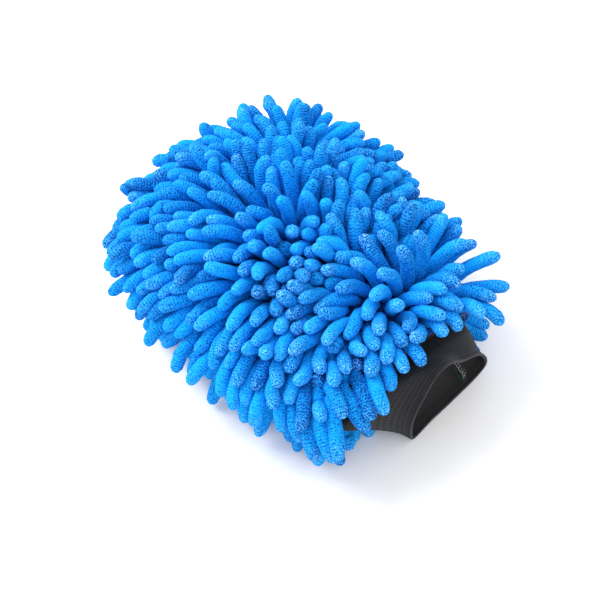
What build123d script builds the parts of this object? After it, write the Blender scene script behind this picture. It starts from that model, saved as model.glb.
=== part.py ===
"""Chenille wash mitt: two noodle-covered panels, a lining and a knitted elastic cuff.

Frame: +Z is up, the mitt lies on the plane Z = 0, its fingertip end points along +Y and its
cuff opens towards -Y. The origin is on the table, under the middle of the whole mitt.
"""

import os
from math import cos, hypot, pi, radians, sin

from build123d import *

# ---- driving dimensions (mm) ----

# fabric body, measured on the outer face of the backing
body_length = 184.0
body_width = 142.0
wrist_width = 110.0
neck_length = 112.0
tip_round = 60.0
crown_rise = 22.0
wrist_rise = 16.0
palm_drop = 14.0
wrist_drop = 11.0
seam_height = 36.0
tip_lean = 17.0
lean_pivot = 0.62
tip_plan_power = 2.5
tip_rise_power = 0.7
tip_cut = 0.30

# layers, from the outside inwards
backing_wall = 1.2
layer_gap = 2.0
lining_wall = 0.8

# chenille noodles
noodle_diameter = 7.9
noodle_gap = 0.6
noodle_lengths = (29.0, 31.0, 33.0)
root_clearance = 0.05
edge_margin = 5.5

# the noodles fan out from a line inside the body: the top ones lean back over the cuff
# at the wrist and forward at the tip, and the bottom ones hang down and splay a little
fan_depth = 14.0
fan_lift = 1.6
fan_wrist = 34.0
fan_tip = 66.0
hang_height = 24.0
hang_lift = 1.5
hang_splay = 0.75
# each rod's own seam line is turned to its upper side, clear of the table
noodle_seam_way = Vector(0, 0.05, 1)

# knitted elastic cuff
cuff_wall = 1.5
cuff_inside = 16.0
cuff_reach = 24.0
cuff_turn = 3.0
cuff_shift = 22.0
cuff_clearance = 1.2
lip_width = 66.0
lip_height = 45.0
lip_floor = 1.6
lip_edge_width = 2.0
lip_edge_roll = 0.4

# seams and threads
seam_thickness = 0.8
seam_gap = 0.1
seam_width = 2.4
wrist_seam_width = 4.0
wrist_seam_start = 1.0
stitch_thickness = 0.4
stitch_width = 0.8
join_flap_width = 8.0
join_flap_wall = 1.6
join_gap = 1.2
thread_end_diameter = 0.8
thread_end_length = 3.0
thread_end_gap = 0.6

# ---- sizes that follow ----

noodle_radius = noodle_diameter / 2
noodle_pitch = noodle_diameter + noodle_gap
lining_inset = backing_wall + layer_gap
cuff_inset = lining_inset + lining_wall + cuff_clearance
seam_inset = backing_wall + 2 * stitch_thickness + seam_gap
lip_swing = lip_width / 2 * sin(radians(cuff_turn))
cuff_extent = cuff_reach + lip_edge_width + lip_swing
wrist_y = (cuff_extent - body_length - noodle_lengths[0] + noodle_radius) / 2


def ease(share):
    """Smooth step from 0 to 1."""
    share = min(max(share, 0.0), 1.0)
    return share * share * (3 - 2 * share)


def tip_factor(along):
    """How much of the full width is left at a distance along the body from the wrist."""
    share = min(max((along - body_length + tip_round) / tip_round, 0.0), 1.0)
    return (1 - share**tip_plan_power) ** (1 / tip_plan_power)


def half_width(along):
    """Half the body's width at a distance along it from the wrist."""
    neck = ease(along / neck_length)
    return (wrist_width + (body_width - wrist_width) * neck) / 2 * tip_factor(along)


def height_above_seam(along):
    """How far the top panel stands above the side seam."""
    neck = ease(along / neck_length)
    return (wrist_rise + (crown_rise - wrist_rise) * neck) * tip_factor(along) ** tip_rise_power


def depth_below_seam(along):
    """How far the bottom panel hangs below the side seam."""
    neck = ease(along / neck_length)
    return (wrist_drop + (palm_drop - wrist_drop) * neck) * tip_factor(along) ** tip_rise_power


def centre_x(along):
    """The body leans a little to one side towards its tip."""
    return tip_lean * (along / body_length - lean_pivot)


def section_plane(along):
    """The upright plane across the body, with its origin in the side seam's plane."""
    return Plane(origin=(centre_x(along), wrist_y + along, seam_height), x_dir=(1, 0, 0), z_dir=(0, -1, 0))


# the body's end is cut flat where it has narrowed to tip_cut of its width
body_end = next(body_length - step * 0.1 for step in range(1000) if tip_factor(body_length - step * 0.1) > tip_cut)


def row_stations():
    """Places of the noodle rows along the body, one pitch apart over the crown's curve."""
    step = 0.05
    stations = []
    along = edge_margin
    travelled = noodle_pitch
    while along < body_end - step:
        if travelled >= noodle_pitch:
            stations.append(along)
            travelled -= noodle_pitch
        climb = height_above_seam(along + step) - height_above_seam(along)
        travelled += hypot(step, climb)
        along += step
    return stations


rows = row_stations()


def side_half_height(along, side):
    """Half oval's height for the top panel (side 1) or the bottom panel (side -1)."""
    return height_above_seam(along) if side > 0 else depth_below_seam(along)


def half_oval(along, inset, side):
    """The upper or lower half of the body's oval section, set in from the outer face."""
    across = half_width(along) - inset
    up = side_half_height(along, side) - inset
    with BuildSketch(section_plane(along)) as oval:
        with BuildLine():
            EllipticalCenterArc((0, 0), across, up, start_angle=0, arc_size=180 * side)
            Line((-across, 0), (across, 0))
        make_face()
    return oval.sketch


def panel(side, inset, wall):
    """One half of a fabric layer: a domed shell, open at the wrist and along the side seam."""
    outer_places = [0.0] + rows[1:-1] + [body_end - inset]
    inner_places = [-2.0] + rows[1:-1] + [body_end - inset - wall]
    with BuildPart() as layer:
        loft(sections=[half_oval(along, inset, side) for along in outer_places])
        loft(sections=[half_oval(along, inset + wall, side) for along in inner_places], mode=Mode.SUBTRACT)
    return layer


def oval_point(along, angle, inset, side):
    """A point on the body's oval section; the angle runs from the +X side to the -X side."""
    across = half_width(along) - inset
    up = side_half_height(along, side) - inset
    return Vector(
        centre_x(along) + across * cos(angle),
        wrist_y + along,
        seam_height + side * up * sin(angle),
    )


def oval_normal(along, angle, side):
    """The outward normal of the backing at a point of its oval section."""
    step = 0.01
    forward = oval_point(along + step, angle, 0, side) - oval_point(along - step, angle, 0, side)
    around = oval_point(along, angle + step, 0, side) - oval_point(along, angle - step, 0, side)
    normal = forward.cross(around).normalized()
    outwards = oval_point(along, angle, 0, side) - Vector(centre_x(along), wrist_y + along, seam_height)
    return normal if normal.dot(outwards) > 0 else -normal


def row_angles(along, side, staggered):
    """Angles of the noodles in one row: one pitch apart around the oval, clear of the side seam."""
    steps = 720
    arc = [0.0]
    angles = [pi * index / steps for index in range(steps + 1)]
    for start, end in zip(angles, angles[1:]):
        arc.append(arc[-1] + (oval_point(along, end, 0, side) - oval_point(along, start, 0, side)).length)
    usable = arc[-1] - 2 * edge_margin
    count = int(usable // noodle_pitch) + 1
    slack = usable - (count - 1) * noodle_pitch
    first = edge_margin + (slack * 0.1 if staggered else slack * 0.9)
    wanted = [first + index * noodle_pitch for index in range(count)]
    return [next(angle for angle, length in zip(angles, arc) if length >= place) for place in wanted]


def noodle_direction(root, along, side):
    """The way a noodle points from its root."""
    if side > 0:
        centre = min(max(along, fan_wrist), body_length - fan_tip)
        rise = (root.Z - seam_height + fan_depth) * fan_lift
        return Vector(root.X - centre_x(along), along - centre, rise).normalized()
    centre = min(along, body_length - fan_tip)
    fall = (root.Z - seam_height - hang_height) * hang_lift
    return Vector((root.X - centre_x(along)) * hang_splay, (along - centre) * hang_splay, fall).normalized()


def row_places(row, side):
    """The noodles of one row, as a list of planes whose Z runs along each noodle from its root."""
    along = rows[row]
    places = []
    for angle in row_angles(along, side, row % 2 == 1):
        foot = oval_point(along, angle, 0, side)
        root = foot + oval_normal(along, angle, side) * (noodle_radius + root_clearance)
        way = noodle_direction(root, along, side)
        places.append(Plane(origin=root, x_dir=noodle_seam_way, z_dir=way))
    return places


def noodle_form(length):
    """One chenille noodle along +Z: a round rod with round ends, its root's centre at the origin."""
    with BuildPart() as form:
        with BuildSketch(Plane.XZ):
            with BuildLine():
                end = length - 2 * noodle_radius
                CenterArc((0, 0), noodle_radius, -90, 90)
                Line((noodle_radius, 0), (noodle_radius, end))
                CenterArc((0, end), noodle_radius, 0, 90)
                Line((0, end + noodle_radius), (0, -noodle_radius))
            make_face()
        revolve(axis=Axis.Z)
    return form.part


noodle_forms = [noodle_form(length) for length in noodle_lengths]


def noodle_row(row, side):
    """All the noodles of one row, as separate solids; the lowest are pressed flat on the table."""
    with BuildPart() as noodles:
        for kind, form in enumerate(noodle_forms):
            chosen = [place for index, place in enumerate(row_places(row, side)) if (index + row) % 3 == kind]
            if chosen:
                with Locations(*chosen):
                    add(form)
        if side < 0:
            split(bisect_by=Plane.XY, keep=Keep.TOP)
    return noodles


def row_stitching(side):
    """A line of stitching inside the backing under each noodle row."""
    inset = backing_wall + stitch_thickness
    with BuildPart() as stitching:
        for along in rows[:-2]:
            line = half_oval(along, inset, side) - half_oval(along, inset + stitch_thickness, side)
            extrude(to_extrude=line, amount=stitch_width / 2, both=True)
        with Locations((0, 0, seam_height)):
            Box(2 * body_width, 2 * body_length, 2 * edge_margin - stitch_width, mode=Mode.SUBTRACT)
    return stitching


def body_outline(inset, start, end):
    """The body's plan at the side seam, set in from the outer face, from start to end."""
    places = [start] + [along for along in rows[1:-1] if start < along < end] + [end]
    right = [(centre_x(along) + half_width(along) - inset, wrist_y + along) for along in places]
    left = [(centre_x(along) - half_width(along) + inset, wrist_y + along) for along in places]
    with BuildSketch(Plane.XY.offset(seam_height)) as outline:
        with BuildLine():
            Spline(*right)
            Line(right[-1], left[-1])
            Spline(*reversed(left))
            Line(left[0], right[0])
        make_face()
    return outline.sketch


# ---- fabric layers ----

top_backing = panel(1, 0, backing_wall)
top_backing.part.label = "top_backing"
bottom_backing = panel(-1, 0, backing_wall)
bottom_backing.part.label = "bottom_backing"
top_lining = panel(1, lining_inset, lining_wall)
top_lining.part.label = "top_lining"
bottom_lining = panel(-1, lining_inset, lining_wall)
bottom_lining.part.label = "bottom_lining"

# ---- knitted elastic cuff ----

# the lip's outline, as shares of its width across and of its height up, from its low
# pointed corner up over the crown of the opening, down to the lobe beside the join and
# back along the table
lip_shares = (
    (-0.49, 0.03),
    (-0.52, 0.27),
    (-0.51, 0.50),
    (-0.43, 0.72),
    (-0.27, 0.98),
    (-0.15, 0.97),
    (0.06, 0.75),
    (0.25, 0.60),
    (0.44, 0.34),
    (0.50, 0.09),
    (0.36, 0.01),
    (0.15, 0.00),
    (-0.07, 0.00),
    (-0.30, 0.00),
)
lip_angles = (205, 190, 165, 140, 112, 92, 68, 45, 18, -10, -38, -66, -90, -122)
join_place = 10


def cuff_outline(at_lip, inset):
    """Points around the cuff: the wrist's oval at 0, the lip's outline at 1, a blend between them."""
    across = wrist_width / 2 - cuff_inset
    up = wrist_rise - cuff_inset
    down = wrist_drop - cuff_inset
    points = []
    for (share_x, share_z), angle in zip(lip_shares, lip_angles):
        turn = radians(angle)
        oval = Vector((across - inset) * cos(turn), ((up if sin(turn) > 0 else down) - inset) * sin(turn))
        lip_x = share_x * (lip_width - 2 * inset)
        lip_z = lip_floor + inset + share_z * (lip_height - 2 * inset) - seam_height
        points.append(oval * (1 - at_lip) + Vector(lip_x, lip_z) * at_lip)
    return points


def cuff_plane(reach, blend):
    """The plane across the cuff, some way out from the wrist; towards the lip it turns and shifts aside."""
    turn = radians(cuff_turn * blend)
    middle = Vector(centre_x(0) + cuff_shift * blend, wrist_y - reach, seam_height)
    across = Vector(cos(turn), sin(turn), 0)
    return Plane(origin=middle, x_dir=across, z_dir=across.cross(Vector(0, 0, 1)))


cuff_steps = (
    (-cuff_inside, 0.0),
    (0.0, 0.0),
    (cuff_reach * 0.2, 0.10),
    (cuff_reach * 0.4, 0.35),
    (cuff_reach * 0.6, 0.65),
    (cuff_reach * 0.8, 0.90),
    (cuff_reach, 1.0),
)


def cuff_section(reach, blend, inset):
    """The cuff's filled section at one step, set in from its outer face."""
    with BuildSketch(cuff_plane(reach, blend)) as section:
        with BuildLine():
            Spline(*cuff_outline(blend, inset), periodic=True)
        make_face()
    return section.sketch


cuff_stretches = list(zip(cuff_steps, cuff_steps[1:]))

with BuildPart() as elastic_cuff:
    for start, end in cuff_stretches:
        loft(sections=[cuff_section(*start, 0), cuff_section(*end, 0)])
    for start, end in cuff_stretches:
        loft(sections=[cuff_section(*start, cuff_wall), cuff_section(*end, cuff_wall)], mode=Mode.SUBTRACT)
elastic_cuff.part.label = "elastic_cuff"

with BuildPart() as cuff_edge:
    rolled_edge = cuff_section(cuff_reach, 1, -lip_edge_roll) - cuff_section(cuff_reach, 1, cuff_wall + lip_edge_roll)
    extrude(to_extrude=rolled_edge, amount=lip_edge_width)
cuff_edge.part.label = "cuff_edge"

# the band's two ends are sewn together and turned inwards as a standing flap, overlocked
# with clear thread; it runs from the lip to the wrist beside the opening's low lobe


def join_foot(blend):
    """The foot of the join's flap on the cuff's inner face, in the cuff's section plane."""
    lobe, floor = cuff_outline(blend, cuff_wall + join_gap)[join_place : join_place + 2]
    return (lobe + floor) / 2


def flap_section(reach, blend):
    """The flap's section at one step along the cuff."""
    foot = join_foot(blend)
    with BuildSketch(cuff_plane(reach, blend)) as section:
        with Locations((foot.X, foot.Y + join_flap_width / 2)):
            Rectangle(join_flap_wall, join_flap_width)
    return section.sketch


with BuildPart() as cuff_join_seam:
    for start, end in cuff_stretches[1:]:
        loft(sections=[flap_section(*start), flap_section(*end)])
cuff_join_seam.part.label = "cuff_join_seam"

with BuildPart() as join_thread_end:
    lip_foot = join_foot(1)
    end_x = lip_foot.X - (join_flap_wall + thread_end_diameter) / 2 - thread_end_gap
    with BuildSketch(cuff_plane(cuff_reach, 1)):
        with Locations((end_x, lip_foot.Y + join_flap_width - thread_end_diameter)):
            Circle(thread_end_diameter / 2)
    extrude(amount=-thread_end_length)
join_thread_end.part.label = "join_thread_end"

pieces = [top_backing, bottom_backing, top_lining, bottom_lining, elastic_cuff, cuff_edge]
pieces += [cuff_join_seam, join_thread_end]

# ---- seams ----

with BuildPart() as wrist_seam:
    for side in (1, -1):
        hem_place = wrist_seam_start + wrist_seam_width / 2
        hem = half_oval(hem_place, seam_inset, side) - half_oval(hem_place, seam_inset + seam_thickness, side)
        extrude(to_extrude=hem, amount=wrist_seam_width / 2, both=True)
wrist_seam.part.label = "wrist_seam"
pieces.append(wrist_seam)

with BuildPart() as perimeter_seam:
    seam_start = wrist_seam_start + wrist_seam_width + 1.0
    outer_outline = body_outline(seam_inset, seam_start, body_end - seam_inset)
    inner_outline = body_outline(seam_inset + seam_thickness, 0.0, body_end - seam_inset - seam_thickness)
    extrude(to_extrude=outer_outline - inner_outline, amount=seam_width / 2, both=True)
perimeter_seam.part.label = "perimeter_seam"
pieces.append(perimeter_seam)

for name, side in (("top_row_stitching", 1), ("bottom_row_stitching", -1)):
    stitching = row_stitching(side)
    stitching.part.label = name
    pieces.append(stitching)

# ---- noodles ----

for panel_name, side in (("top", 1), ("bottom", -1)):
    for row in range(len(rows)):
        noodles = noodle_row(row, side)
        noodles.part.label = f"{panel_name}_noodles_row_{row + 1:02d}"
        pieces.append(noodles)

os.makedirs("parts", exist_ok=True)
for piece in pieces:
    export_step(piece.part, f"parts/{piece.part.label}.step")
print("rows", len(rows), "nodes", len(pieces))
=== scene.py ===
"""Chenille wash mitt: noodles, backing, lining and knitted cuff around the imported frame.

The frame gives every noodle's root and every fabric layer's place. The noodles are soft, so
they are groomed, dropped and settled against each other here; the fabric layers and the cuff
are rebuilt as real cloth with their own weave, ribs, rolled edge and threads.
"""

import logging
import math
from dataclasses import dataclass
from enum import Enum

import bpy
import numpy as np
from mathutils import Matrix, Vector
from mathutils.bvhtree import BVHTree


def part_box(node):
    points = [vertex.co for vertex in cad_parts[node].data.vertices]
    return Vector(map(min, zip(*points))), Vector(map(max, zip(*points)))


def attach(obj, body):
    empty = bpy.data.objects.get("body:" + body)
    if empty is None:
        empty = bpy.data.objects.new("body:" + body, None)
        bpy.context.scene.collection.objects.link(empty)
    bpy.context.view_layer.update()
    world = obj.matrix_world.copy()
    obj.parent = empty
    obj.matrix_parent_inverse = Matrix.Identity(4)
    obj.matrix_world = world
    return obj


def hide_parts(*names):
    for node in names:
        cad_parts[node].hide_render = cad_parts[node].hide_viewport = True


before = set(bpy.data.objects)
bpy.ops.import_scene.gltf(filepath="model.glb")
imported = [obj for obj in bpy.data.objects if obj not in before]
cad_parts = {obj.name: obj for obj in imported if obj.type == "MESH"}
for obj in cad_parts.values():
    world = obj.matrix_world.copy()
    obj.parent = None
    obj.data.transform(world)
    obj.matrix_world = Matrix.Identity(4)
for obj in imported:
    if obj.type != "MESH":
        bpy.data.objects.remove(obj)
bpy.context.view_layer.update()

LOG = logging.getLogger("wash_mitt")
MM = 0.001
BODY = "root"
Colour = tuple[float, float, float, float]


# ---- small tools ----


def linear(hex_colour: str) -> Colour:
    """Turns an sRGB hex colour into the linear colour that shaders and lights take.

    Args:
        hex_colour: six hex digits, such as "0b82e2".

    Returns:
        Red, green, blue and alpha, linear.
    """
    parts = [int(hex_colour[i : i + 2], 16) / 255 for i in (0, 2, 4)]
    red, green, blue = (p / 12.92 if p <= 0.04045 else ((p + 0.055) / 1.055) ** 2.4 for p in parts)
    return (red, green, blue, 1.0)


def add_node(tree: bpy.types.NodeTree, kind: str, settings: dict | None = None, links: dict | None = None):
    """Adds one shader node with its settings and links.

    Args:
        tree: the node tree it goes in.
        kind: the node's type name, such as "ShaderNodeTexNoise".
        settings: socket names or numbers and attribute names, with their values.
        links: socket names or numbers, with the output sockets they take.

    Returns:
        The new node.
    """
    node = tree.nodes.new(kind)
    for key, value in (settings or {}).items():
        if isinstance(key, int) or key in node.inputs:
            node.inputs[key].default_value = value
        else:
            setattr(node, key, value)
    for key, source in (links or {}).items():
        tree.links.new(source, node.inputs[key])
    return node


def deselect_all() -> None:
    """Leaves edit mode and deselects every object."""
    if bpy.context.object is not None and bpy.context.object.mode != "OBJECT":
        bpy.ops.object.mode_set(mode="OBJECT")
    bpy.ops.object.select_all(action="DESELECT")


def mesh_points(piece: bpy.types.Object) -> np.ndarray:
    """The piece's vertices as an array of points."""
    points = np.empty(len(piece.data.vertices) * 3)
    piece.data.vertices.foreach_get("co", points)
    return points.reshape(-1, 3)


def mesh_faces(piece: bpy.types.Object) -> list[tuple[int, ...]]:
    """The piece's faces as tuples of vertex numbers."""
    return [tuple(face.vertices) for face in piece.data.polygons]


def unit(vectors: np.ndarray) -> np.ndarray:
    """Scales each vector in the last axis to length 1."""
    return vectors / np.maximum(np.linalg.norm(vectors, axis=-1, keepdims=True), 1e-12)


def add_uv(piece: bpy.types.Object, name: str, coords: np.ndarray) -> None:
    """Gives the piece a UV map with one coordinate pair per face corner, in metres."""
    layer = piece.data.uv_layers.new(name=name)
    layer.data.foreach_set("uv", coords.astype(np.float32).ravel())


def add_attribute(piece: bpy.types.Object, name: str, values: np.ndarray) -> None:
    """Gives the piece a number for each vertex, which its material reads."""
    layer = piece.data.attributes.new(name, "FLOAT", "POINT")
    layer.data.foreach_set("value", values.astype(np.float32))


def cloth_grid(name: str, spots: np.ndarray, map_name: str, coords: np.ndarray) -> bpy.types.Object:
    """Lays a grid primitive over a table of points and closes it where its edges meet.

    Args:
        name: the piece's name.
        spots: the points, indexed by column, row and axis.
        map_name: the name of its UV map.
        coords: each point's place on the flat cloth in metres, indexed as the points are.

    Returns:
        The sheet, with its faces pointing the way that columns cross rows.
    """
    columns, rows = spots.shape[0] - 1, spots.shape[1] - 1
    deselect_all()
    bpy.ops.mesh.primitive_grid_add(x_subdivisions=columns, y_subdivisions=rows, size=1)
    piece = bpy.context.object
    piece.name = name
    piece.data.name = name
    flat = mesh_points(piece)
    column = np.rint((flat[:, 0] + 0.5) * columns).astype(int)
    row = np.rint((flat[:, 1] + 0.5) * rows).astype(int)
    piece.data.vertices.foreach_set("co", spots[column, row].ravel())
    corner = np.empty(len(piece.data.loops), dtype=int)
    piece.data.loops.foreach_get("vertex_index", corner)
    while piece.data.uv_layers:
        piece.data.uv_layers.remove(piece.data.uv_layers[0])
    add_uv(piece, map_name, coords[column, row][corner])
    bpy.ops.object.mode_set(mode="EDIT")
    bpy.ops.mesh.select_all(action="SELECT")
    bpy.ops.mesh.remove_doubles(threshold=1e-6)
    bpy.ops.object.mode_set(mode="OBJECT")
    bpy.ops.object.shade_smooth()
    return piece


def tube(name: str, path: np.ndarray, radius: float, sides: int, closed: bool) -> bpy.types.Object:
    """Wraps a round tube about a path.

    Args:
        name: the piece's name.
        path: the points of its middle line.
        radius: its radius in metres.
        sides: how many sides it has.
        closed: whether its ends meet.

    Returns:
        The tube, with the UV map Along.
    """
    if closed:
        path = np.vstack([path, path[:1]])
    ways = unit(np.gradient(path, axis=0))
    if closed:
        ways[0] = ways[-1] = unit(path[1] - path[-2])
    right = unit(np.cross(ways[0], (0.31, 0.17, 0.94)))
    frames = []
    for way in ways:
        right = unit(right - way * (right @ way))
        frames.append((right, np.cross(way, right)))
    twist = 0.0
    if closed:
        first, last = frames[0], frames[-1]
        twist = math.atan2(last[0] @ first[1], last[0] @ first[0])
    spots = np.zeros((sides + 1, len(path), 3))
    coords = np.zeros((sides + 1, len(path), 2))
    arc = np.concatenate([[0], np.cumsum(np.linalg.norm(np.diff(path, axis=0), axis=1))])
    for step, (spot, (across, over)) in enumerate(zip(path, frames)):
        for side in range(sides + 1):
            turn = 2 * math.pi * (side % sides) / sides - twist * step / (len(path) - 1)
            size = radius if closed or 0 < step < len(path) - 1 else radius * 0.02
            spots[side, step] = spot + (across * math.cos(turn) + over * math.sin(turn)) * size
            coords[side, step] = (side / sides * 2 * math.pi * radius, arc[step])
    return cloth_grid(name, spots, "Along", coords)


# ---- finishes ----


@dataclass(frozen=True)
class ChenilleFinish:
    """Split polyester microfibre chenille: dense short pile around a twisted core.

    The pile scatters light back at grazing angles, so each noodle has a pale velvety rim, a
    speckle of fibre ends and faint rings where the pile yarn is wound. Its whitish tips are
    painted highlight, where the fibre ends catch the light.
    """

    name: str = "microfibre_chenille"
    deep: str = "003a8c"
    mid: str = "009cfa"
    light: str = "0cb4ff"
    # Painted highlight: the pale colour that the tips are whitened towards, where the fibre ends catch the light.
    tip: str = "b8ecff"
    sheen: str = "28b4ff"
    speckle_mm: float = 0.75
    ring_mm: float = 1.45

    def material(self) -> bpy.types.Material:
        """Builds the chenille's material.

        Returns:
            The material; it reads the UV map Pile, the attribute tip, which sets how much painted highlight whitens
            the tips, and the attribute shade.
        """
        made = bpy.data.materials.new(self.name)
        made.use_nodes = True
        tree = made.node_tree
        tree.nodes.clear()
        uv = add_node(tree, "ShaderNodeUVMap", {"uv_map": "Pile"})
        place = add_node(tree, "ShaderNodeTexCoord")
        tip = add_node(tree, "ShaderNodeAttribute", {"attribute_name": "tip"})
        shade = add_node(tree, "ShaderNodeAttribute", {"attribute_name": "shade"})
        speckle = add_node(
            tree,
            "ShaderNodeTexNoise",
            {"Scale": 1 / (self.speckle_mm * MM), "Detail": 2.0, "Roughness": 0.6},
            {"Vector": place.outputs["Object"]},
        )
        rings = add_node(
            tree,
            "ShaderNodeTexWave",
            {
                "bands_direction": "Y",
                "Scale": 0.314 / (self.ring_mm * MM),
                "Distortion": 1.2,
                "Detail": 1.0,
                "Detail Scale": 2.0,
            },
            {"Vector": uv.outputs["UV"]},
        )
        grain = add_node(
            tree,
            "ShaderNodeMath",
            {"operation": "MULTIPLY_ADD", 1: 0.10},
            {0: rings.outputs["Fac"], 2: speckle.outputs["Fac"]},
        )
        toned = add_node(
            tree,
            "ShaderNodeMath",
            {"operation": "MULTIPLY_ADD", 1: 0.10},
            {0: shade.outputs["Fac"], 2: grain.outputs[0]},
        )
        body = add_node(tree, "ShaderNodeValToRGB", {}, {"Fac": toned.outputs[0]})
        ramp = body.color_ramp
        ramp.elements[0].position, ramp.elements[0].color = 0.36, linear(self.deep)
        ramp.elements[1].position, ramp.elements[1].color = 0.80, linear(self.light)
        middle = ramp.elements.new(0.58)
        middle.color = linear(self.mid)
        # Painted highlight: pale flecks on the tips, where the fibre ends catch the light.
        highlight_flecks = add_node(
            tree,
            "ShaderNodeMapRange",
            {"From Min": 0.53, "From Max": 0.64},
            {"Value": speckle.outputs["Fac"]},
        )
        painted_tip_highlight = add_node(
            tree,
            "ShaderNodeMath",
            {"operation": "MULTIPLY"},
            {0: highlight_flecks.outputs[0], 1: tip.outputs["Fac"]},
        )
        # Painted highlight: mixes the flecked tips towards the pale tip colour.
        colour = add_node(
            tree,
            "ShaderNodeMix",
            {"data_type": "RGBA", 7: linear(self.tip)},
            {0: painted_tip_highlight.outputs[0], 6: body.outputs["Color"]},
        )
        height = add_node(
            tree,
            "ShaderNodeMath",
            {"operation": "MULTIPLY_ADD", 1: 0.45},
            {0: rings.outputs["Fac"], 2: speckle.outputs["Fac"]},
        )
        bump = add_node(
            tree,
            "ShaderNodeBump",
            {"Strength": 0.8, "Distance": 0.6 * MM},
            {"Height": height.outputs[0]},
        )
        shader = add_node(
            tree,
            "ShaderNodeBsdfPrincipled",
            {
                "Roughness": 0.9,
                "Specular IOR Level": 0.2,
                "Sheen Weight": 0.45,
                "Sheen Roughness": 0.25,
                "Sheen Tint": linear(self.sheen),
            },
            {"Base Color": colour.outputs[2], "Normal": bump.outputs["Normal"]},
        )
        add_node(tree, "ShaderNodeOutputMaterial", {}, {"Surface": shader.outputs["BSDF"]})
        return made


@dataclass(frozen=True)
class KnitFinish:
    """Knitted polyester cloth: fine loops in rows, matt, with a little dusty sheen and painted shade between the
    loops.
    """

    name: str
    colour: str
    crest: str
    map_name: str = "Cloth"
    wale_mm: float = 1.2
    course_mm: float = 1.0
    relief_mm: float = 0.25
    strength: float = 0.7

    def material(self) -> bpy.types.Material:
        """Builds the knit's material from two crossed waves on the flat cloth."""
        made = bpy.data.materials.new(self.name)
        made.use_nodes = True
        tree = made.node_tree
        tree.nodes.clear()
        uv = add_node(tree, "ShaderNodeUVMap", {"uv_map": self.map_name})
        waves = [
            add_node(
                tree,
                "ShaderNodeTexWave",
                {"bands_direction": axis, "Scale": 0.314 / (pitch * MM), "Distortion": 0.6, "Detail Scale": 1.5},
                {"Vector": uv.outputs["UV"]},
            )
            for axis, pitch in (("X", self.wale_mm), ("Y", self.course_mm))
        ]
        loops = add_node(
            tree,
            "ShaderNodeMath",
            {"operation": "MULTIPLY"},
            {0: waves[0].outputs["Fac"], 1: waves[1].outputs["Fac"]},
        )
        # Painted shade: the colour is darkest between the loops, where the bump is low, and takes the crest colour on
        # the loop tops.
        colour = add_node(
            tree,
            "ShaderNodeMix",
            {"data_type": "RGBA", 6: linear(self.colour), 7: linear(self.crest)},
            {0: loops.outputs[0]},
        )
        bump = add_node(
            tree,
            "ShaderNodeBump",
            {"Strength": self.strength, "Distance": self.relief_mm * MM},
            {"Height": loops.outputs[0]},
        )
        shader = add_node(
            tree,
            "ShaderNodeBsdfPrincipled",
            {"Roughness": 0.85, "Specular IOR Level": 0.25, "Sheen Weight": 0.12, "Sheen Roughness": 0.5},
            {"Base Color": colour.outputs[2], "Normal": bump.outputs["Normal"]},
        )
        add_node(tree, "ShaderNodeOutputMaterial", {}, {"Surface": shader.outputs["BSDF"]})
        return made


@dataclass(frozen=True)
class ElasticFinish:
    """Black covered-rubber elastic knit: matt ribs across the band and fine rows along it, with painted shade in the
    grooves.
    """

    name: str = "black_elastic_knit"
    # Painted shade: the near-black colour in the grooves between the ribs.
    groove_shade: str = "030304"
    rib: str = "141518"
    band_rib: str = "35363d"
    row_mm: float = 1.9
    short_rib_mm: float = 1.25

    def material(self) -> bpy.types.Material:
        """Builds the elastic's material; it reads the UV map Cloth and the attribute band."""
        made = bpy.data.materials.new(self.name)
        made.use_nodes = True
        tree = made.node_tree
        tree.nodes.clear()
        uv = add_node(tree, "ShaderNodeUVMap", {"uv_map": "Cloth"})
        band = add_node(tree, "ShaderNodeAttribute", {"attribute_name": "band"})
        rows, ribs, fine = (
            add_node(
                tree,
                "ShaderNodeTexWave",
                {"bands_direction": axis, "Scale": 0.314 / (pitch * MM), "Distortion": twist, "Detail Scale": 1.5},
                {"Vector": uv.outputs["UV"]},
            )
            for axis, pitch, twist in (
                ("Y", self.row_mm, 0.4),
                ("X", self.short_rib_mm, 0.5),
                ("Y", 0.95, 0.8),
            )
        )
        level = add_node(
            tree,
            "ShaderNodeMath",
            {"operation": "MULTIPLY_ADD", 1: 0.6, 2: 0.4},
            {0: rows.outputs["Fac"]},
        )
        ladder = add_node(
            tree,
            "ShaderNodeMath",
            {"operation": "MULTIPLY"},
            {0: level.outputs[0], 1: ribs.outputs["Fac"]},
        )
        height = add_node(
            tree,
            "ShaderNodeMix",
            {"data_type": "FLOAT"},
            {0: band.outputs["Fac"], 2: fine.outputs["Fac"], 3: ladder.outputs[0]},
        )
        crest = add_node(
            tree,
            "ShaderNodeMix",
            {"data_type": "RGBA", 6: linear(self.rib), 7: linear(self.band_rib)},
            {0: band.outputs["Fac"]},
        )
        # Painted shade: the colour falls to near black where the ribs are low, in the grooves.
        colour = add_node(
            tree,
            "ShaderNodeMix",
            {"data_type": "RGBA", 6: linear(self.groove_shade)},
            {0: height.outputs[0], 7: crest.outputs[2]},
        )
        bump = add_node(
            tree,
            "ShaderNodeBump",
            {"Strength": 0.7, "Distance": 0.3 * MM},
            {"Height": height.outputs[0]},
        )
        shader = add_node(
            tree,
            "ShaderNodeBsdfPrincipled",
            {"Roughness": 0.75, "Specular IOR Level": 0.3, "Sheen Weight": 0.06, "Sheen Roughness": 0.4},
            {"Base Color": colour.outputs[2], "Normal": bump.outputs["Normal"]},
        )
        add_node(tree, "ShaderNodeOutputMaterial", {}, {"Surface": shader.outputs["BSDF"]})
        return made


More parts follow.
